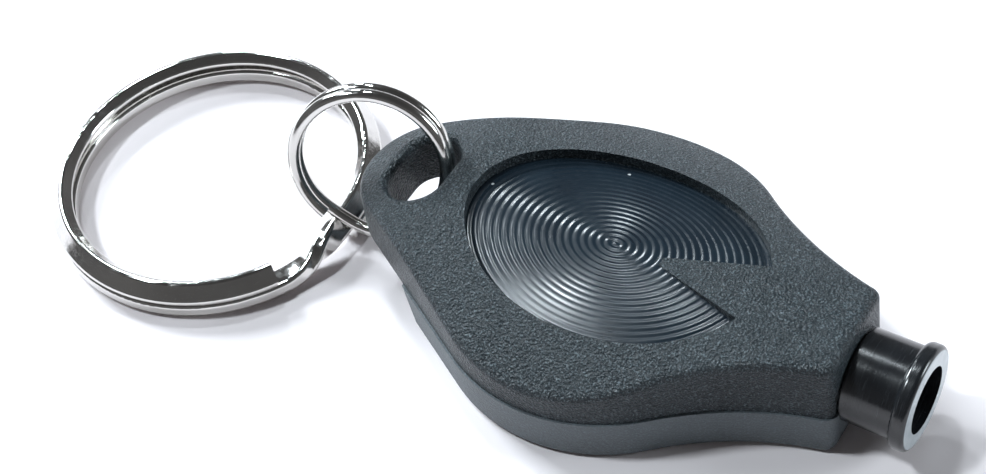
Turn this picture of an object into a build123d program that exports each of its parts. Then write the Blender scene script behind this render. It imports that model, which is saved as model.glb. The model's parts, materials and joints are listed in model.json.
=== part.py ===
from build123d import *
import math
import os

os.makedirs("parts", exist_ok=True)

# Millimetres. +X points to the nose, +Z is up, Z = 0 is the resting face,
# and the origin is under the middle of the thumb pad.

# Case outline, seen from above
body_x = -1.0
body_radius = 12.6
end_x = -15.6
end_radius = 5.3
nose_x = 18.3
nose_half_width = 4.0
nose_corner = 1.1
waist_radius = 24.0

# Case heights
case_height = 9.2
arch_radius = 26.0
droop_x = -11.5
droop_radius = 22.0
droop_turn = 40.0
parting_z = 3.9
parting_step = 0.15
upper_inset = 0.3
lower_inset = 0.15
crest_fillet = 0.6
bottom_fillet = 0.5
shell_margin = 3.0

# Key-ring hole and the relief under it
ring_hole_x = -15.8
ring_hole_width = 4.4
ring_hole_length = 6.4
ring_hole_rounding = 0.5
relief_wall_x = -13.0
relief_wall_lean = 0.9

# Thumb pad, its opening, and the wedge that points at it
opening_x_radius = 11.25
opening_y_radius = 7.8
rim_rounding = 0.45
plate_thickness = 1.14
pad_x_radius = 11.75
pad_y_radius = 8.5
pad_drop = 1.2
pad_thickness = 0.7
pad_notch_x = 9.3
pad_notch_width = 3.5
cavity_x_radius = 12.0
cavity_y_radius = 8.75
cavity_drop = 2.35
plunger_radius = 1.0
plunger_tip_z = 6.24
wedge_apex_x = 2.3
wedge_half_width = 2.8
wedge_apex_height = 0.12
wedge_end_drop = 0.3

# Cells
pocket_radius = 10.3
pocket_floor = 1.4
pocket_roof = 5.3
cell_radius = 10.0
cell_height = 1.6
lower_cell_z = 1.85
cell_gap = 0.01
upper_cell_z = lower_cell_z + cell_height + cell_gap
can_wall = 0.22
can_lip = 0.6
cap_step = 0.15
cap_radius = 8.9
cap_flange_radius = 9.3
cap_flange_z = 0.8
gasket_top_z = 1.3
electrode_radius = 8.6

# Contact leaf
leaf_z = 6.03
leaf_thickness = 0.2
leaf_width = 2.4
leaf_back_x = -3.0
leaf_front_x = 9.55
contact_x = -1.0
dimple_radius = 0.7
leaf_slot_width = 3.2
leaf_slot_back_x = -3.8

# Lamp: a 5 mm light-emitting diode lying along X
lamp_z = 4.5
lamp_radius = 2.5
lamp_flange_radius = 2.9
lamp_back_x = 9.6
lamp_flange = 1.0
lamp_length = 8.6
lead_offset = 1.27
lead_size = 0.5
lead_gap = 0.01
lead_back_x = 9.3
lead_inner_x = 12.4
lead_drop_x = 9.0
cell_lead_z = 1.42
cell_lead_thickness = 0.42
cell_lead_back_x = -3.0
die_size = 0.35
bond_wire_radius = 0.06
wire_bow = 0.5
wire_room = 1.6
wire_room_width = 0.7
lamp_pocket_radius = 2.6
flange_pocket_radius = 3.0

# Nose tube
tube_radius = 3.3
collar_radius = 3.75
collar_length = 1.2
tube_end_x = 23.0
spigot_radius = 2.95
spigot_back_x = 15.3
collar_rounding = 0.4
key_radius = 3.25
key_x = 15.6
key_length = 0.8
bore_radius = 2.4
bore_back_x = 18.6
rear_bore_radius = 2.6
fit_gap = 0.02

# Screws, driven from below
screw_places = [(12.4, 3.9), (12.4, -3.9), (-11.4, 5.6), (-11.4, -5.6)]
screw_head_radius = 1.0
screw_head_z = 0.3
screw_head_height = 0.7
screw_radius = 0.65
screw_top_z = 6.0
screw_gap = 0.02
driver_recess_width = 0.3
driver_recess_length = 1.3
driver_recess_depth = 0.35

# Split rings
small_wire = 0.95
small_ring_radius = 5.66
small_ring_centre = (-19.81, -1.04, 8.19)
small_ring_normal = (0.353, -0.82, 0.301)
small_jog = 45
small_cut = 5
large_wire_radial = 1.8
large_wire_axial = 1.2
large_ring_radius = 12.08
large_ring_centre = (-34.57, -2.95, 1.42)
large_ring_normal = (0.002, 0, 1.0)
large_jog = 30
large_cut = 3
coil_gap = 0.03
large_wire_rounding = 0.32
small_ring_start = (0.25, -0.25, -0.93)
large_ring_start = (1.0, 0.026, 0)


def circle_point(centre_x, centre_y, radius, degrees):
    """The point on a circle at an angle from +X."""
    turn = math.radians(degrees)
    return (centre_x + radius * math.cos(turn), centre_y + radius * math.sin(turn))


def mirrored(point):
    """The same point on the other side of the XZ plane."""
    return (point[0], -point[1])


# Where the outline's arcs meet
reach = body_radius + waist_radius
run = math.hypot(nose_x - body_x, nose_half_width)
along = (reach**2 - waist_radius**2 + run**2) / (2 * run)
aside = math.sqrt(reach**2 - along**2)
nose_angle = math.atan2(nose_half_width, nose_x - body_x)
waist_x = body_x + along * math.cos(nose_angle) - aside * math.sin(nose_angle)
waist_y = along * math.sin(nose_angle) + aside * math.cos(nose_angle)
waist_angle = math.degrees(math.atan2(waist_y, waist_x - body_x))
side_angle = 90 + math.degrees(math.asin((body_radius - end_radius) / (body_x - end_x)))
nose_point = (nose_x, nose_half_width)
waist_point = circle_point(body_x, 0, body_radius, waist_angle)
side_point = circle_point(body_x, 0, body_radius, side_angle)
end_point = circle_point(end_x, 0, end_radius, side_angle)
body_top = circle_point(body_x, 0, body_radius, (waist_angle + side_angle) / 2)
nose_from_waist = math.degrees(math.atan2(nose_half_width - waist_y, nose_x - waist_x))
waist_middle = circle_point(waist_x, waist_y, waist_radius, (nose_from_waist + waist_angle - 180) / 2)


# The case outline as a closed line
with BuildLine() as case_outline:
    Line(mirrored(nose_point), nose_point)
    ThreePointArc(nose_point, waist_middle, waist_point)
    ThreePointArc(waist_point, body_top, side_point)
    Line(side_point, end_point)
    ThreePointArc(end_point, (end_x - end_radius, 0), mirrored(end_point))
    Line(mirrored(end_point), mirrored(side_point))
    ThreePointArc(mirrored(side_point), mirrored(body_top), mirrored(waist_point))
    ThreePointArc(mirrored(waist_point), mirrored(waist_middle), mirrored(nose_point))


with BuildSketch() as case_face:
    add(case_outline.line)
    make_face()
    fillet(case_face.vertices().sort_by(Axis.X)[-2:], nose_corner)

with BuildSketch() as upper_face:
    add(case_face.sketch)
    offset(amount=-upper_inset, kind=Kind.INTERSECTION)

with BuildSketch() as lower_face:
    add(case_face.sketch)
    offset(amount=-lower_inset, kind=Kind.INTERSECTION)


with BuildSketch() as step_face:
    add(case_face.sketch)
    offset(amount=-parting_step, kind=Kind.INTERSECTION)


def under_arch(drop):
    """A long block under the case's arched top lowered by drop. Its tail end curves down."""
    span = 2 * (body_radius + shell_margin)
    with BuildPart() as block:
        with BuildSketch(Plane.YZ.offset(droop_x)):
            with Locations((0, case_height - arch_radius)):
                Circle(arch_radius - drop)
            with Locations((0, -arch_radius)):
                Rectangle(4 * arch_radius, 2 * arch_radius, mode=Mode.SUBTRACT)
            Rectangle(span, 4 * case_height, mode=Mode.INTERSECT)
        extrude(amount=4 * body_radius)
        with BuildSketch(Plane.YZ.offset(droop_x)):
            with Locations((0, case_height - arch_radius)):
                Circle(arch_radius - drop)
            with Locations((0, -arch_radius)):
                Rectangle(4 * arch_radius, 2 * arch_radius, mode=Mode.SUBTRACT)
            Rectangle(span, 4 * case_height, mode=Mode.INTERSECT)
        tail_axis = Axis((droop_x, 0, case_height - droop_radius), (0, 1, 0))
        revolve(axis=tail_axis, revolution_arc=-droop_turn)
    return block.part


full_block = under_arch(0)
plate_block = under_arch(plate_thickness)
pad_top_block = under_arch(pad_drop)
pad_floor_block = under_arch(pad_drop + pad_thickness)
cavity_block = under_arch(cavity_drop)

# Room inside the case for the cells, leaf, lamp, nose tube and screws
with BuildPart() as cell_room:
    with BuildSketch(Plane.XY.offset(pocket_floor)):
        with Locations((body_x, 0)):
            Circle(pocket_radius)
    extrude(amount=pocket_roof - pocket_floor)
    with BuildSketch(Plane.XY.offset(pocket_roof - 0.1)):
        with Locations(((leaf_slot_back_x + lamp_back_x) / 2, 0)):
            Rectangle(lamp_back_x - leaf_slot_back_x, leaf_slot_width)
    extrude(amount=case_height - cavity_drop + 0.2 - pocket_roof)

with BuildPart() as lamp_room:
    with BuildSketch(Plane.YZ.offset(lamp_back_x - 0.2)):
        with Locations((0, lamp_z)):
            Circle(flange_pocket_radius)
    extrude(amount=lamp_flange + 0.3)
    with BuildSketch(Plane.YZ.offset(lamp_back_x + lamp_flange)):
        with Locations((0, lamp_z)):
            Circle(lamp_pocket_radius)
    extrude(amount=spigot_back_x - lamp_back_x - lamp_flange)
    with BuildSketch(Plane.YZ.offset(spigot_back_x - 0.05)):
        with Locations((0, lamp_z)):
            Circle(spigot_radius + fit_gap)
    extrude(amount=nose_x - spigot_back_x + 1)
    with BuildSketch(Plane.YZ.offset(key_x - fit_gap)):
        with Locations((0, lamp_z)):
            Circle(key_radius + fit_gap)
    extrude(amount=key_length + 2 * fit_gap)

# A channel under the cells for the lamp's lower lead
with BuildPart() as lead_room:
    with BuildSketch(Plane.XY.offset(pocket_floor)):
        with Locations(((pocket_radius + body_x) / 2 + 2.2, 0)):
            Rectangle(pocket_radius + body_x - 4, 1.2)
    extrude(amount=lamp_z - pocket_floor)

with BuildPart() as screw_room:
    with BuildSketch(Plane.XY.offset(-1)):
        with Locations(screw_places):
            Circle(screw_head_radius + screw_gap)
    extrude(amount=1 + screw_head_z + screw_head_height + screw_gap)
    with BuildSketch(Plane.XY):
        with Locations(screw_places):
            Circle(screw_radius + screw_gap)
    extrude(amount=screw_top_z + 0.1)

with BuildPart() as ring_hole:
    with BuildSketch(Plane.XY.offset(-1)):
        with Locations((ring_hole_x, 0)):
            SlotOverall(ring_hole_length, ring_hole_width, rotation=90)
    extrude(amount=case_height + 3)

with BuildPart() as relief:
    with BuildSketch(Plane.XZ.offset(-2 * end_radius)):
        with BuildLine():
            Polyline(
                (relief_wall_x, 0),
                (relief_wall_x - relief_wall_lean, parting_z),
                (end_x - 2 * end_radius, parting_z),
                (end_x - 2 * end_radius, -1),
                (relief_wall_x, -1),
                close=True,
            )
        make_face()
    extrude(amount=4 * end_radius)

with BuildPart() as pad_cavity:
    with BuildSketch(Plane.XY.offset(parting_z)):
        Ellipse(cavity_x_radius, cavity_y_radius)
    extrude(amount=case_height)
    add(plate_block, mode=Mode.INTERSECT)
    add(cavity_block, mode=Mode.SUBTRACT)

# The opening over the pad, down to the cavity's floor
with BuildPart() as pad_opening:
    with BuildSketch(Plane.XY.offset(parting_z)):
        Ellipse(opening_x_radius, opening_y_radius)
    extrude(amount=case_height)
    add(cavity_block, mode=Mode.SUBTRACT)

# Lower half of the case
with BuildPart() as lower_case:
    with BuildSketch(Plane.XY):
        add(lower_face.sketch)
    with BuildSketch(Plane.XY.offset(parting_z)):
        add(case_face.sketch)
    loft(ruled=True)
    fillet(lower_case.faces().sort_by(Axis.Z)[0].edges(), bottom_fillet)
    add(cell_room.part, mode=Mode.SUBTRACT)
    add(lamp_room.part, mode=Mode.SUBTRACT)
    add(lead_room.part, mode=Mode.SUBTRACT)
    add(screw_room.part, mode=Mode.SUBTRACT)
    add(relief.part, mode=Mode.SUBTRACT)
lower_case.part.label = "lower_case"
export_step(lower_case.part, "parts/lower_case.step")

# The wedge that reaches over the pad from the nose side of the opening
with BuildPart() as wedge:
    with BuildSketch(Plane.XY.offset(parting_z)):
        with BuildLine():
            Polyline(
                (wedge_apex_x, 0),
                (opening_x_radius + rim_rounding + 0.1, wedge_half_width),
                (opening_x_radius + rim_rounding + 0.1, -wedge_half_width),
                close=True,
            )
        make_face()
    extrude(amount=case_height)
    add(full_block, mode=Mode.INTERSECT)
    add(plate_block, mode=Mode.SUBTRACT)
    with BuildSketch(Plane.XZ.offset(-body_radius)):
        with BuildLine():
            Polyline(
                (wedge_apex_x - 1, case_height - plate_thickness + wedge_apex_height),
                (wedge_apex_x, case_height - plate_thickness + wedge_apex_height),
                (opening_x_radius, case_height - wedge_end_drop),
                (body_radius, case_height - wedge_end_drop),
                (body_radius, case_height + 1),
                (wedge_apex_x - 1, case_height + 1),
                close=True,
            )
        make_face()
    extrude(amount=2 * body_radius, mode=Mode.SUBTRACT)


def is_crest(edge):
    """Whether an edge runs round the top of the case, leaving out the seam at the droop."""
    box = edge.bounding_box()
    is_seam = abs(box.min.X - droop_x) < 0.01 and box.size.X < 0.01
    return box.min.Z > parting_z + 1 and not is_seam


def is_hole_rim(edge):
    """Whether an edge is on the top rim of the key-ring hole."""
    box = edge.bounding_box()
    in_place = abs(box.center().X - ring_hole_x) < ring_hole_width / 2 + 0.1
    small = box.size.X < ring_hole_width + 0.1 and box.size.Y < ring_hole_length + 0.1
    return in_place and small and box.min.Z > parting_z + 1


# Upper half of the case
with BuildPart() as upper_case:
    with BuildSketch(Plane.XY.offset(parting_z)):
        add(step_face.sketch)
    with BuildSketch(Plane.XY.offset(case_height + 1)):
        add(upper_face.sketch)
    loft(ruled=True)
    add(full_block, mode=Mode.INTERSECT)
    crest = upper_case.edges().filter_by(is_crest)
    fillet(crest, crest_fillet)
    add(ring_hole.part, mode=Mode.SUBTRACT)
    add(pad_opening.part, mode=Mode.SUBTRACT)
    hole_rim = upper_case.edges().filter_by(is_hole_rim)
    fillet(hole_rim, ring_hole_rounding)
    arch_face = upper_case.faces().filter_by(GeomType.CYLINDER).sort_by(SortBy.AREA)[-1]
    opening_rim = arch_face.edges().filter_by(
        lambda edge: edge.bounding_box().size.X > 1.8 * opening_x_radius and edge.bounding_box().size.Y < 17
    )
    fillet(opening_rim, rim_rounding)
    add(pad_cavity.part, mode=Mode.SUBTRACT)
    add(cell_room.part, mode=Mode.SUBTRACT)
    add(lamp_room.part, mode=Mode.SUBTRACT)
    add(screw_room.part, mode=Mode.SUBTRACT)
    add(wedge.part)
upper_case.part.label = "upper_case"
export_step(upper_case.part, "parts/upper_case.step")

# Thumb pad: a ribbed oval button with a round-tipped plunger
with BuildPart() as thumb_pad:
    with BuildSketch(Plane.XY.offset(parting_z)):
        Ellipse(pad_x_radius, pad_y_radius)
        with Locations((pad_x_radius, 0)):
            Rectangle(2 * (pad_x_radius - pad_notch_x), pad_notch_width, mode=Mode.SUBTRACT)
    extrude(amount=case_height)
    add(pad_top_block, mode=Mode.INTERSECT)
    add(pad_floor_block, mode=Mode.SUBTRACT)
    with BuildSketch(Plane.XY.offset(plunger_tip_z + plunger_radius)):
        with Locations((contact_x, 0)):
            Circle(plunger_radius)
    extrude(amount=case_height - pad_drop - pad_thickness / 2 - plunger_tip_z - plunger_radius)
    with Locations((contact_x, 0, plunger_tip_z + plunger_radius)):
        Sphere(plunger_radius)
thumb_pad.part.label = "thumb_pad"
export_step(thumb_pad.part, "parts/thumb_pad.step")

# Contact leaf: a springy strip with a round dimple over the cells
with BuildPart() as contact_leaf:
    with BuildSketch(Plane.XY.offset(leaf_z)):
        with Locations(((leaf_back_x + leaf_front_x) / 2, 0)):
            Rectangle(leaf_front_x - leaf_back_x, leaf_width)
    extrude(amount=leaf_thickness)
    with Locations((contact_x, 0, leaf_z + leaf_thickness / 2)):
        Sphere(dimple_radius, arc_size1=-90, arc_size2=0, align=(Align.CENTER, Align.CENTER, Align.MAX))
contact_leaf.part.label = "contact_leaf"
export_step(contact_leaf.part, "parts/contact_leaf.step")

# Nose tube: a plain bore in front, room for the lamp's dome behind
with BuildPart() as nose_tube:
    with BuildSketch(Plane.YZ.offset(spigot_back_x)):
        with Locations((0, lamp_z)):
            Circle(spigot_radius)
    extrude(amount=nose_x - spigot_back_x)
    with BuildSketch(Plane.YZ.offset(key_x)):
        with Locations((0, lamp_z)):
            Circle(key_radius)
    extrude(amount=key_length)
    with BuildSketch(Plane.YZ.offset(nose_x)):
        with Locations((0, lamp_z)):
            Circle(tube_radius)
    extrude(amount=tube_end_x - nose_x)
    with BuildSketch(Plane.YZ.offset(tube_end_x - collar_length)):
        with Locations((0, lamp_z)):
            Circle(collar_radius)
    extrude(amount=collar_length)
    collar_edges = nose_tube.edges().filter_by(GeomType.CIRCLE)
    collar_edges = collar_edges.filter_by(lambda edge: abs(edge.radius - collar_radius) < 0.01)
    fillet(collar_edges, collar_rounding)
    with BuildSketch(Plane.YZ.offset(bore_back_x)):
        with Locations((0, lamp_z)):
            Circle(bore_radius)
    extrude(amount=tube_end_x - bore_back_x + 1, mode=Mode.SUBTRACT)
    with BuildSketch(Plane.YZ.offset(spigot_back_x - 1)):
        with Locations((0, lamp_z)):
            Circle(rear_bore_radius)
    extrude(amount=bore_back_x - spigot_back_x + 1, mode=Mode.SUBTRACT)
nose_tube.part.label = "nose_tube"
export_step(nose_tube.part, "parts/nose_tube.step")

# Lamp leads: the upper one reaches the leaf, the lower one runs under the cells
with BuildPart() as led_anode_lead:
    with BuildSketch(Plane.YZ.offset(lead_back_x)):
        with Locations((0, lamp_z + lead_offset)):
            Rectangle(lead_size, lead_size)
    extrude(amount=lead_inner_x - lead_back_x)
led_anode_lead.part.label = "led_anode_lead"
export_step(led_anode_lead.part, "parts/led_anode_lead.step")

with BuildPart() as led_cathode_lead:
    with BuildSketch(Plane.XZ.offset(-lead_size / 2)):
        with BuildLine():
            Polyline(
                (lead_inner_x, lamp_z - lead_offset - lead_size / 2),
                (lead_inner_x, lamp_z - lead_offset + lead_size / 2),
                (lead_drop_x, lamp_z - lead_offset + lead_size / 2),
                (lead_drop_x, cell_lead_z + cell_lead_thickness),
                (cell_lead_back_x, cell_lead_z + cell_lead_thickness),
                (cell_lead_back_x, cell_lead_z),
                (lead_drop_x + lead_size, cell_lead_z),
                (lead_drop_x + lead_size, lamp_z - lead_offset - lead_size / 2),
                close=True,
            )
        make_face()
    extrude(amount=lead_size)
led_cathode_lead.part.label = "led_cathode_lead"
export_step(led_cathode_lead.part, "parts/led_cathode_lead.step")

# Light-emitting chip on the lower lead's end, and the wire to the upper lead
with BuildPart() as led_die:
    with Locations((lead_inner_x + lead_gap + die_size / 2, 0, lamp_z - lead_offset)):
        Box(die_size, die_size, die_size)
led_die.part.label = "led_die"
export_step(led_die.part, "parts/led_die.step")

wire_start_z = lamp_z - lead_offset + bond_wire_radius * 2
wire_end_z = lamp_z + lead_offset - bond_wire_radius * 2
wire_x = lead_inner_x + lead_gap + die_size + bond_wire_radius + lead_gap
with BuildPart() as led_bond_wire:
    with BuildLine() as wire_path:
        ThreePointArc(
            (wire_x, 0, wire_start_z),
            (wire_x + wire_bow, 0, lamp_z),
            (wire_x, 0, wire_end_z),
        )
    with BuildSketch(Plane(origin=wire_path.line @ 0, z_dir=wire_path.line % 0)):
        Circle(bond_wire_radius)
    sweep()
led_bond_wire.part.label = "led_bond_wire"
export_step(led_bond_wire.part, "parts/led_bond_wire.step")

# Lamp lens: a domed clear body cast round the ends of the leads
dome_x = lamp_back_x + lamp_length - lamp_radius
with BuildPart() as led_lens:
    with BuildSketch(Plane.YZ.offset(lamp_back_x)):
        with Locations((0, lamp_z)):
            Circle(lamp_flange_radius)
    extrude(amount=lamp_flange)
    with BuildSketch(Plane.YZ.offset(lamp_back_x)):
        with Locations((0, lamp_z)):
            Circle(lamp_radius)
    extrude(amount=dome_x - lamp_back_x)
    with Locations((dome_x, 0, lamp_z)):
        Sphere(lamp_radius)
    with BuildSketch(Plane.YZ.offset(lamp_back_x - 1)):
        with Locations((0, lamp_z + lead_offset), (0, lamp_z - lead_offset)):
            Rectangle(lead_size + 2 * lead_gap, lead_size + 2 * lead_gap)
    extrude(amount=lead_inner_x - lamp_back_x + 1 + lead_gap, mode=Mode.SUBTRACT)
    with Locations((lead_inner_x + wire_room / 2, 0, lamp_z)):
        Box(wire_room, wire_room_width, 2 * lead_offset + lead_size, mode=Mode.SUBTRACT)
led_lens.part.label = "led_lens"
export_step(led_lens.part, "parts/led_lens.step")


def cell_can(bottom_z, name):
    """The outer can of a coin cell, its closed side up and its lip turned in."""
    top_z = bottom_z + cell_height
    with BuildPart() as can:
        with BuildSketch(Plane.XZ):
            with BuildLine():
                Polyline(
                    (0, top_z),
                    (cell_radius, top_z),
                    (cell_radius, bottom_z + cap_step),
                    (cell_radius - can_lip, bottom_z + cap_step),
                    (cell_radius - can_lip, bottom_z + cap_step + can_wall),
                    (cell_radius - can_wall, bottom_z + cap_step + can_wall),
                    (cell_radius - can_wall, top_z - can_wall),
                    (0, top_z - can_wall),
                    close=True,
                )
            make_face()
        revolve(axis=Axis.Z)
    with BuildPart() as placed:
        with Locations((body_x, 0, 0)):
            add(can.part)
    placed.part.label = name
    export_step(placed.part, f"parts/{name}.step")


def cell_cap(bottom_z, name):
    """The flanged cap that closes the underside of a coin cell."""
    with BuildPart() as cap:
        with BuildSketch(Plane.XZ):
            with BuildLine():
                Polyline(
                    (0, bottom_z),
                    (cap_radius, bottom_z),
                    (cap_radius, bottom_z + cap_flange_z),
                    (cap_flange_radius, bottom_z + cap_flange_z),
                    (cap_flange_radius, bottom_z + cap_flange_z + can_wall),
                    (cap_radius - can_wall, bottom_z + cap_flange_z + can_wall),
                    (cap_radius - can_wall, bottom_z + can_wall),
                    (0, bottom_z + can_wall),
                    close=True,
                )
            make_face()
        revolve(axis=Axis.Z)
    with BuildPart() as placed:
        with Locations((body_x, 0, 0)):
            add(cap.part)
    placed.part.label = name
    export_step(placed.part, f"parts/{name}.step")


def cell_gasket(bottom_z, name):
    """The insulating ring between a cell's can and its cap."""
    low_z = bottom_z + cap_step + can_wall + cell_gap
    with BuildPart() as gasket:
        with BuildSketch(Plane.XZ):
            with BuildLine():
                Polyline(
                    (cap_radius + cell_gap, low_z),
                    (cell_radius - can_wall - cell_gap, low_z),
                    (cell_radius - can_wall - cell_gap, bottom_z + gasket_top_z),
                    (cap_flange_radius + cell_gap, bottom_z + gasket_top_z),
                    (cap_flange_radius + cell_gap, bottom_z + cap_flange_z - cell_gap),
                    (cap_radius + cell_gap, bottom_z + cap_flange_z - cell_gap),
                    close=True,
                )
            make_face()
        revolve(axis=Axis.Z)
    with BuildPart() as placed:
        with Locations((body_x, 0, 0)):
            add(gasket.part)
    placed.part.label = name
    export_step(placed.part, f"parts/{name}.step")


def cell_electrodes(bottom_z, name):
    """The pressed discs and separator that fill a coin cell."""
    low_z = bottom_z + can_wall + cell_gap
    with BuildPart() as filling:
        with BuildSketch(Plane.XY.offset(low_z)):
            with Locations((body_x, 0)):
                Circle(electrode_radius)
        extrude(amount=cell_height - 2 * can_wall - 2 * cell_gap)
    filling.part.label = name
    export_step(filling.part, f"parts/{name}.step")


for cell_name, cell_z in (("lower_cell", lower_cell_z), ("upper_cell", upper_cell_z)):
    cell_can(cell_z, cell_name + "_can")
    cell_cap(cell_z, cell_name + "_cap")
    cell_gasket(cell_z, cell_name + "_gasket")
    cell_electrodes(cell_z, cell_name + "_electrodes")

# Four case screws, heads down, each with a crossed driver recess
with BuildPart() as case_screws:
    with BuildSketch(Plane.XY.offset(screw_head_z)):
        with Locations(screw_places):
            Circle(screw_head_radius)
    extrude(amount=screw_head_height)
    with BuildSketch(Plane.XY.offset(screw_head_z)):
        with Locations(screw_places):
            Circle(screw_radius)
    extrude(amount=screw_top_z - screw_head_z)
    with BuildSketch(Plane.XY.offset(screw_head_z)):
        with Locations(screw_places):
            Rectangle(driver_recess_length, driver_recess_width)
            Rectangle(driver_recess_width, driver_recess_length)
    extrude(amount=driver_recess_depth, mode=Mode.SUBTRACT)
case_screws.part.label = "case_screws"
export_step(case_screws.part, "parts/case_screws.step")


def coil_path(radius, pitch, jog, cut):
    """Two flat turns of a split ring, joined by a jog that climbs one pitch."""
    turn = math.radians(jog)
    pull = radius * 4 / 3 * math.tan(turn / 4)
    jog_start = circle_point(0, 0, radius, -jog)
    with BuildLine() as path:
        CenterArc((0, 0, -pitch / 2), radius, 0, 360 - jog)
        Bezier(
            (jog_start[0], jog_start[1], -pitch / 2),
            (jog_start[0] + pull * math.sin(turn), jog_start[1] + pull * math.cos(turn), -pitch / 2),
            (radius, -pull, pitch / 2),
            (radius, 0, pitch / 2),
        )
        CenterArc((0, 0, pitch / 2), radius, 0, 360 - jog - cut)
    return path.wires()[0]


# Split rings: two turns of wire, one coil beside the other
small_path = coil_path(small_ring_radius, small_wire + coil_gap, small_jog, small_cut)
with BuildPart() as small_coils:
    with BuildSketch(Plane.XZ):
        with Locations((small_ring_radius, -(small_wire + coil_gap) / 2)):
            Circle(small_wire / 2)
    sweep(path=small_path)

with BuildPart() as small_split_ring:
    with Locations(Plane(small_ring_centre, x_dir=small_ring_start, z_dir=small_ring_normal)):
        add(small_coils.part)
small_split_ring.part.label = "small_split_ring"
export_step(small_split_ring.part, "parts/small_split_ring.step")

large_path = coil_path(large_ring_radius, large_wire_axial + coil_gap, large_jog, large_cut)
with BuildPart() as large_coils:
    with BuildSketch(Plane.XZ):
        with Locations((large_ring_radius, -(large_wire_axial + coil_gap) / 2)):
            RectangleRounded(large_wire_radial, large_wire_axial, large_wire_rounding)
    sweep(path=large_path, is_frenet=True)

with BuildPart() as large_split_ring:
    with Locations(Plane(large_ring_centre, x_dir=large_ring_start, z_dir=large_ring_normal)):
        add(large_coils.part)
large_split_ring.part.label = "large_split_ring"
export_step(large_split_ring.part, "parts/large_split_ring.step")
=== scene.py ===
import json
import math

import bmesh
import bpy
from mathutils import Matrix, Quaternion, Vector


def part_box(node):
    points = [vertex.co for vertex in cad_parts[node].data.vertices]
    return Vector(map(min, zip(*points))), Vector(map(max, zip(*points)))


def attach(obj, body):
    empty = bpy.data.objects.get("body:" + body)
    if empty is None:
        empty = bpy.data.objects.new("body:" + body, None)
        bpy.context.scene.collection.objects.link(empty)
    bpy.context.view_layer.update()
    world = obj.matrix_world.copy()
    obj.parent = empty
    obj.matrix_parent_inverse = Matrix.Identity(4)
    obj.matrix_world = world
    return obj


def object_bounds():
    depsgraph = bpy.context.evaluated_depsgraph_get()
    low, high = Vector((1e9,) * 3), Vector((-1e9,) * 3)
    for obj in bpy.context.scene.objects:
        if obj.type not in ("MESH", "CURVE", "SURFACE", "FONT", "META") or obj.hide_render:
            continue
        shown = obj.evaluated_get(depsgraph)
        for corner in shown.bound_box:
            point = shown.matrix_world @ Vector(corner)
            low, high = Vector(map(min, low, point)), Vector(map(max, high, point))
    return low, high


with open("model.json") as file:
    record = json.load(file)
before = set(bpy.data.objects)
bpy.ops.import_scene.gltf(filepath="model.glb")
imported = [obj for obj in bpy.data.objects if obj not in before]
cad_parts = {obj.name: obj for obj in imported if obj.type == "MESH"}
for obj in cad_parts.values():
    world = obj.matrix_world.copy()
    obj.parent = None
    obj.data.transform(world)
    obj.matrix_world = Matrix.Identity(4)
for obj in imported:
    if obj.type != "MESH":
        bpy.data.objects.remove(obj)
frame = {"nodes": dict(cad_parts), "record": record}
cad_low, cad_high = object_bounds()
nodes = frame["nodes"]

# Metres, in the part's own frame: +X to the nose, +Z up, the floor under Z = 0.
MM = 0.001

# Thumb pad ribs
RIB_COUNT = 20
RIB_HEIGHT = 0.040 * MM
RIB_CLEARANCE = 0.004 * MM
RIB_SAMPLES = 10
RIB_TURNS = 256
PAD_ARCH = 24.8 * MM
PAD_MARGIN = 0.1 * MM
PAD_NOTCH_HALF = 1.8 * MM
PAD_NOTCH_X = 9.2 * MM

# Camera
CAMERA_TARGET = Vector((-10.04, -0.77, 4.5)) * MM
CAMERA_DISTANCE = 143.6 * MM
CAMERA_AZIMUTH = 40.34
CAMERA_ELEVATION = 49.39
CAMERA_ROLL = -10.96
CAMERA_LENS = 73.02
SENSOR = 36.0

# Stage
FLOOR_SIZE = 3.0
FLOOR_DROP = 0.02 * MM
LIGHT_DISTANCE = 0.6
LIGHT_COLOUR = (0.84, 0.94, 1.0)
ROOM_STOPS = ((0.0, 0.10), (0.35, 0.14), (0.60, 0.08), (1.0, 0.05))


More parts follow.
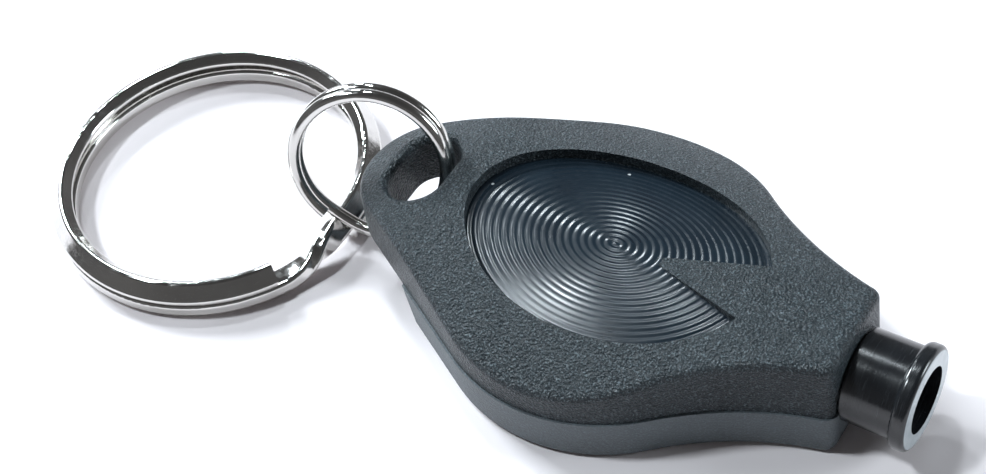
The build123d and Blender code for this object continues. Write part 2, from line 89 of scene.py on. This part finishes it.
class Surface:
    """A node material under construction, with one Principled shader."""

    def __init__(self, name):
        self.material = bpy.data.materials.new(name)
        self.material.use_nodes = True
        self.tree = self.material.node_tree
        self.tree.nodes.clear()
        self.shader = self.tree.nodes.new("ShaderNodeBsdfPrincipled")
        output = self.tree.nodes.new("ShaderNodeOutputMaterial")
        self.tree.links.new(self.shader.outputs[0], output.inputs["Surface"])
        self.place = self.tree.nodes.new("ShaderNodeTexCoord").outputs["Object"]

    def node(self, kind, settings=None, **inputs):
        """Adds a node, sets its properties, and sets or links its inputs by name."""
        made = self.tree.nodes.new("ShaderNode" + kind)
        for key, value in (settings or {}).items():
            setattr(made, key, value)
        for key, value in inputs.items():
            self.set(made, key.replace("_", " "), value)
        return made

    def set(self, node, name, value):
        """Sets an input to a value, or links it to another node's output."""
        socket = node.inputs[int(name)] if name.isdigit() else node.inputs[name]
        if isinstance(value, bpy.types.NodeSocket):
            self.tree.links.new(value, socket)
        else:
            socket.default_value = value

    def finish(self, **inputs):
        """Sets the shader's own inputs."""
        for key, value in inputs.items():
            self.set(self.shader, key.replace("_", " "), value)
        return self.material

    def stretched(self, scale):
        """The object's coordinates, scaled along each axis."""
        return self.node("Mapping", Vector=self.place, Scale=scale).outputs[0]

    def noise(self, scale, detail=3.0, roughness=0.5, place=None):
        made = self.node(
            "TexNoise", Vector=place or self.place, Scale=scale, Detail=detail, Roughness=roughness
        )
        return made.outputs[0]

    def cells(self, scale, feature="F1"):
        made = self.node("TexVoronoi", {"feature": feature}, Vector=self.place, Scale=scale)
        return made.outputs["Distance"]

    def ramp(self, value, *stops):
        """A colour ramp from (position, colour) stops."""
        made = self.node("ValToRGB", Fac=value)
        band = made.color_ramp
        while len(band.elements) < len(stops):
            band.elements.new(0.5)
        for element, (position, colour) in zip(band.elements, stops):
            element.position = position
            element.color = colour if len(colour) == 4 else (*colour, 1)
        return made.outputs[0]

    def remap(self, value, low, high, out_low, out_high):
        made = self.node("MapRange", Value=value)
        for index, number in ((1, low), (2, high), (3, out_low), (4, out_high)):
            made.inputs[index].default_value = number
        return made.outputs[0]

    def maths(self, operation, first, second=0.0):
        made = self.node("Math", {"operation": operation})
        self.set(made, "0", first)
        self.set(made, "1", second)
        return made.outputs[0]

    def mix(self, factor, first, second):
        made = self.node("Mix", {"data_type": "RGBA"})
        self.set(made, "0", factor)
        self.set(made, "6", first)
        self.set(made, "7", second)
        return made.outputs[2]

    def bump(self, height, distance, strength=1.0, normal=None):
        made = self.node("Bump", Height=height, Distance=distance, Strength=strength)
        if normal is not None:
            self.set(made, "Normal", normal)
        return made.outputs[0]


def rgba(red, green, blue):
    return (red, green, blue, 1.0)


def grained_plastic(name, low_colour, high_colour, depth, roughness):
    """Plastic from a spark-eroded mould, with grain of the given depth in millimetres."""
    s = Surface(name)
    pits = s.cells(5400, "SMOOTH_F1")
    fine = s.noise(7800, 2.0, 0.5)
    broad = s.noise(180, 4.0)
    height = s.maths("ADD", pits, s.maths("MULTIPLY", fine, 1.1))
    dark = s.ramp(broad, (0.3, low_colour), (0.7, high_colour))
    # Painted glints: pale specks painted on the grain's high points, standing in for the sparkle its
    # facets catch from the lamps.
    painted_glints = s.remap(fine, 0.52, 0.68, 0.0, 0.6)
    colour = s.mix(painted_glints, dark, rgba(0.16, 0.20, 0.22))
    rough = s.remap(broad, 0.3, 0.7, roughness, roughness + 0.08)
    return s.finish(
        Base_Color=colour,
        Roughness=rough,
        Specular_IOR_Level=0.35,
        Normal=s.bump(height, depth * MM, 1.0),
    )


def pad_plastic():
    """Semi-gloss blue-black plastic with faint dust."""
    s = Surface("pad_plastic")
    haze = s.noise(260, 4.0)
    scuff = s.noise(2600, 3.0, 0.6)
    dust = s.remap(s.cells(520), 0.055, 0.075, 1.0, 0.0)
    rare = s.remap(s.noise(330, 1.0), 0.60, 0.62, 0.0, 1.0)
    base = s.ramp(haze, (0.3, (0.007, 0.013, 0.020)), (0.75, (0.012, 0.021, 0.030)))
    colour = s.mix(s.maths("MULTIPLY", dust, rare), base, rgba(0.45, 0.47, 0.48))
    return s.finish(
        Base_Color=colour,
        Roughness=s.remap(scuff, 0.3, 0.7, 0.17, 0.25),
        Specular_IOR_Level=0.45,
        Normal=s.bump(scuff, 0.004 * MM, 0.5),
    )


def tube_plastic():
    """Glossy black plastic with marks running round it and a pale face at the mouth."""
    s = Surface("tube_plastic")
    low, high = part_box("nose_tube")
    rings = s.noise(1.0, 4.0, 0.7, s.stretched((16000, 600, 600)))
    smear = s.noise(500, 3.0)
    along = s.node("SeparateXYZ", Vector=s.place).outputs[0]
    facing = s.node("SeparateXYZ", Vector=s.node("NewGeometry").outputs["Normal"]).outputs[0]
    mouth = s.maths("MULTIPLY", s.remap(along, high.x - 0.05 * MM, high.x - 0.02 * MM, 0.0, 1.0), facing)
    scratch = s.remap(rings, 0.56, 0.75, 0.0, 0.25)
    base = s.mix(scratch, rgba(0.010, 0.011, 0.013), rgba(0.12, 0.13, 0.14))
    face = s.ramp(smear, (0.3, (0.30, 0.34, 0.36)), (0.7, (0.42, 0.46, 0.48)))
    return s.finish(
        Base_Color=s.mix(mouth, base, face),
        Roughness=s.remap(smear, 0.3, 0.7, 0.16, 0.28),
        Specular_IOR_Level=0.6,
        Normal=s.bump(rings, 0.006 * MM, 0.6),
    )


def bare_metal(name, low_colour, high_colour, roughness, grain=1800.0, depth=0.004):
    """A metal with streaked colour, wear and fine marks."""
    s = Surface(name)
    streaks = s.noise(1.0, 4.0, 0.6, s.stretched((grain, grain * 0.15, grain)))
    cloud = s.noise(300, 3.0)
    return s.finish(
        Base_Color=s.ramp(cloud, (0.3, low_colour), (0.7, high_colour)),
        Metallic=1.0,
        Roughness=s.remap(streaks, 0.3, 0.7, roughness * 0.75, roughness * 1.3),
        Normal=s.bump(streaks, depth * MM, 0.5),
    )


def nickel_plate():
    """Polished nickel plate with light handling marks."""
    s = Surface("nickel_plate")
    marks = s.noise(2200, 4.0, 0.65)
    ripple = s.noise(420, 2.0)
    cloud = s.noise(160, 3.0)
    normal = s.bump(ripple, 0.03 * MM, 0.5)
    return s.finish(
        Base_Color=s.ramp(cloud, (0.3, (0.60, 0.585, 0.56)), (0.7, (0.74, 0.73, 0.71))),
        Metallic=1.0,
        Roughness=s.remap(marks, 0.35, 0.75, 0.05, 0.20),
        Normal=s.bump(marks, 0.0025 * MM, 0.6, normal),
    )


def clear_resin():
    """Water-clear cast resin with a faint ripple."""
    s = Surface("clear_resin")
    ripple = s.noise(700, 2.0)
    return s.finish(
        Base_Color=s.ramp(ripple, (0.3, (0.90, 0.95, 1.0)), (0.7, (0.97, 0.98, 1.0))),
        Roughness=s.remap(ripple, 0.3, 0.7, 0.02, 0.07),
        Transmission_Weight=1.0,
        IOR=1.53,
        Normal=s.bump(ripple, 0.004 * MM, 0.3),
    )


def moulded(name, low_colour, high_colour, roughness, scale=1500.0):
    """A plain moulded or pressed surface with mottling and a fine texture."""
    s = Surface(name)
    mottle = s.noise(scale * 0.3, 4.0)
    fine = s.noise(scale * 3, 3.0)
    return s.finish(
        Base_Color=s.ramp(mottle, (0.3, low_colour), (0.7, high_colour)),
        Roughness=s.remap(fine, 0.3, 0.7, roughness * 0.85, min(1.0, roughness * 1.15)),
        Normal=s.bump(fine, 0.01 * MM, 0.5),
    )


materials = {
    "case_plastic": grained_plastic(
        "case_plastic", (0.010, 0.015, 0.019), (0.017, 0.024, 0.029), depth=0.13, roughness=0.30
    ),
    # Lower shell: the case's own plastic painted several times lighter. This is a lit copy that paints
    # in the light the lower band catches from the floor and lamps.
    "base_plastic": grained_plastic(
        "base_plastic", (0.085, 0.100, 0.110), (0.110, 0.128, 0.140), depth=0.04, roughness=0.45
    ),
    "pad_plastic": pad_plastic(),
    "tube_plastic": tube_plastic(),
    "spring_steel": bare_metal("spring_steel", (0.52, 0.50, 0.45), (0.66, 0.64, 0.60), 0.28),
    "clear_resin": clear_resin(),
    "tinned_lead": bare_metal("tinned_lead", (0.60, 0.60, 0.62), (0.75, 0.75, 0.77), 0.35),
    "led_chip": moulded("led_chip", (0.70, 0.62, 0.20), (0.85, 0.78, 0.35), 0.6, 6000.0),
    "bond_gold": bare_metal("bond_gold", (0.80, 0.60, 0.22), (0.92, 0.72, 0.32), 0.2, 9000.0, 0.001),
    "cell_steel": bare_metal("cell_steel", (0.58, 0.59, 0.60), (0.74, 0.75, 0.76), 0.25),
    "gasket_plastic": moulded("gasket_plastic", (0.55, 0.56, 0.52), (0.70, 0.71, 0.67), 0.5),
    "electrode_mix": moulded("electrode_mix", (0.03, 0.03, 0.032), (0.07, 0.07, 0.072), 0.85),
    "screw_steel": bare_metal("screw_steel", (0.32, 0.33, 0.34), (0.50, 0.51, 0.52), 0.32),
    "nickel_plate": nickel_plate(),
}


def finish_cad_nodes():
    """Gives every CAD node the material of its slot."""
    for entry in frame["record"]["subparts"]:
        thing = nodes[entry["node"]]
        material = materials[entry["material_slot"]]
        if not thing.material_slots:
            thing.data.materials.append(material)
        for held in thing.material_slots:
            held.material = material


def pad_height(y, top):
    """The pad's arched top at a distance from its middle line."""
    return top - PAD_ARCH + math.sqrt(PAD_ARCH**2 - y**2)


def rib_profile(step):
    """Height of the ribs, 0 to 1, at a distance out from the middle counted in ribs."""
    wave = 0.5 + 0.5 * math.cos(2 * math.pi * step)
    return wave**0.8


def make_pad_ribs():
    """A thin skin of concentric oval ribs that lies on the CAD pad."""
    low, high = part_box("thumb_pad")
    x_radius = max(high.x, -low.x) - PAD_MARGIN
    y_radius = high.y - PAD_MARGIN
    rings = RIB_COUNT * RIB_SAMPLES
    mesh = bmesh.new()
    tops = [mesh.verts.new((0, 0, pad_height(0, high.z) + RIB_CLEARANCE + RIB_HEIGHT))]
    grid = []
    for ring in range(1, rings + 1):
        share = ring / rings
        row = []
        for turn in range(RIB_TURNS):
            angle = 2 * math.pi * turn / RIB_TURNS
            x = x_radius * share * math.cos(angle)
            y = y_radius * share * math.sin(angle)
            z = pad_height(y, high.z) + RIB_CLEARANCE + RIB_HEIGHT * rib_profile(share * RIB_COUNT)
            row.append(mesh.verts.new((x, y, z)))
        grid.append(row)
    for turn in range(RIB_TURNS):
        mesh.faces.new((tops[0], grid[0][turn], grid[0][(turn + 1) % RIB_TURNS]))
    for inner, outer in zip(grid, grid[1:]):
        for turn in range(RIB_TURNS):
            after = (turn + 1) % RIB_TURNS
            mesh.faces.new((inner[turn], outer[turn], outer[after], inner[after]))
    hidden = []
    for face in mesh.faces:
        centre = face.calc_center_median()
        if centre.x > PAD_NOTCH_X and abs(centre.y) < PAD_NOTCH_HALF:
            hidden.append(face)
    bmesh.ops.delete(mesh, geom=hidden, context="FACES")
    for face in mesh.faces:
        face.smooth = True
    data = bpy.data.meshes.new("pad_ribs")
    mesh.to_mesh(data)
    mesh.free()
    ribs = bpy.data.objects.new("pad_ribs", data)
    bpy.context.scene.collection.objects.link(ribs)
    data.materials.append(materials["pad_plastic"])
    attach(ribs, "pad")


def make_floor():
    """A plain pale floor just under the resting face."""
    bpy.ops.mesh.primitive_plane_add(size=FLOOR_SIZE, location=(0, 0, cad_low.z - FLOOR_DROP))
    floor = bpy.context.object
    floor.name = "floor"
    s = Surface("floor")
    cloud = s.noise(6.0, 2.0)
    s.finish(
        Base_Color=s.ramp(cloud, (0.3, (0.93, 0.86, 0.87)), (0.7, (0.95, 0.88, 0.89))),
        Roughness=0.55,
        Specular_IOR_Level=0.3,
    )
    floor.data.materials.append(s.material)


def make_world():
    """A dim room, a little paler below the horizon than overhead."""
    world = bpy.data.worlds.new("room")
    bpy.context.scene.world = world
    world.use_nodes = True
    tree = world.node_tree
    tree.nodes.clear()
    place = tree.nodes.new("ShaderNodeTexCoord")
    split = tree.nodes.new("ShaderNodeSeparateXYZ")
    band = tree.nodes.new("ShaderNodeValToRGB")
    shade = tree.nodes.new("ShaderNodeBackground")
    output = tree.nodes.new("ShaderNodeOutputWorld")
    while len(band.color_ramp.elements) < len(ROOM_STOPS):
        band.color_ramp.elements.new(0.5)
    for element, (position, level) in zip(band.color_ramp.elements, ROOM_STOPS):
        element.position = position
        element.color = (level, level, level * 1.02, 1)
    tree.links.new(place.outputs["Generated"], split.inputs[0])
    tree.links.new(split.outputs[2], band.inputs[0])
    tree.links.new(band.outputs[0], shade.inputs["Color"])
    tree.links.new(shade.outputs[0], output.inputs["Surface"])
    shade.inputs["Strength"].default_value = 1.0


def make_light(name, direction, size, power):
    """A square light aimed at the object, a fixed distance from it."""
    lamp = bpy.data.lights.new(name, "AREA")
    lamp.size = size
    lamp.energy = power
    lamp.color = LIGHT_COLOUR
    holder = bpy.data.objects.new(name, lamp)
    bpy.context.scene.collection.objects.link(holder)
    outward = Vector(direction).normalized()
    holder.location = CAMERA_TARGET + outward * LIGHT_DISTANCE
    holder.rotation_mode = "QUATERNION"
    holder.rotation_quaternion = outward.to_track_quat("Z", "Y")


def make_camera():
    """A camera that looks down on the near side, rolled a little."""
    azimuth = math.radians(CAMERA_AZIMUTH)
    elevation = math.radians(CAMERA_ELEVATION)
    level = math.cos(elevation)
    outward = Vector((math.sin(azimuth) * level, -math.cos(azimuth) * level, math.sin(elevation)))
    data = bpy.data.cameras.new("camera")
    data.lens = CAMERA_LENS
    data.sensor_width = SENSOR
    data.clip_start = 0.005
    data.clip_end = 10.0
    camera = bpy.data.objects.new("camera", data)
    bpy.context.scene.collection.objects.link(camera)
    camera.location = CAMERA_TARGET + outward * CAMERA_DISTANCE
    camera.rotation_mode = "QUATERNION"
    roll = Quaternion((0, 0, 1), math.radians(CAMERA_ROLL))
    camera.rotation_quaternion = outward.to_track_quat("Z", "Y") @ roll
    bpy.context.scene.camera = camera


finish_cad_nodes()
make_pad_ribs()
make_floor()
make_world()
make_light("key", (-0.80, 0.20, 0.56), 0.16, 4.2)
make_light("side", (0.85, 0.50, 0.40), 0.20, 2.2)
make_light("overhead", (-0.30, 0.30, 0.91), 0.05, 0.8)
make_light("far_left", (-0.60, 0.55, 0.58), 0.05, 0.7)
make_light("near_left", (-0.42, -0.23, 0.88), 0.06, 1.8)
make_camera()
bpy.context.scene.view_settings.view_transform = "Standard"
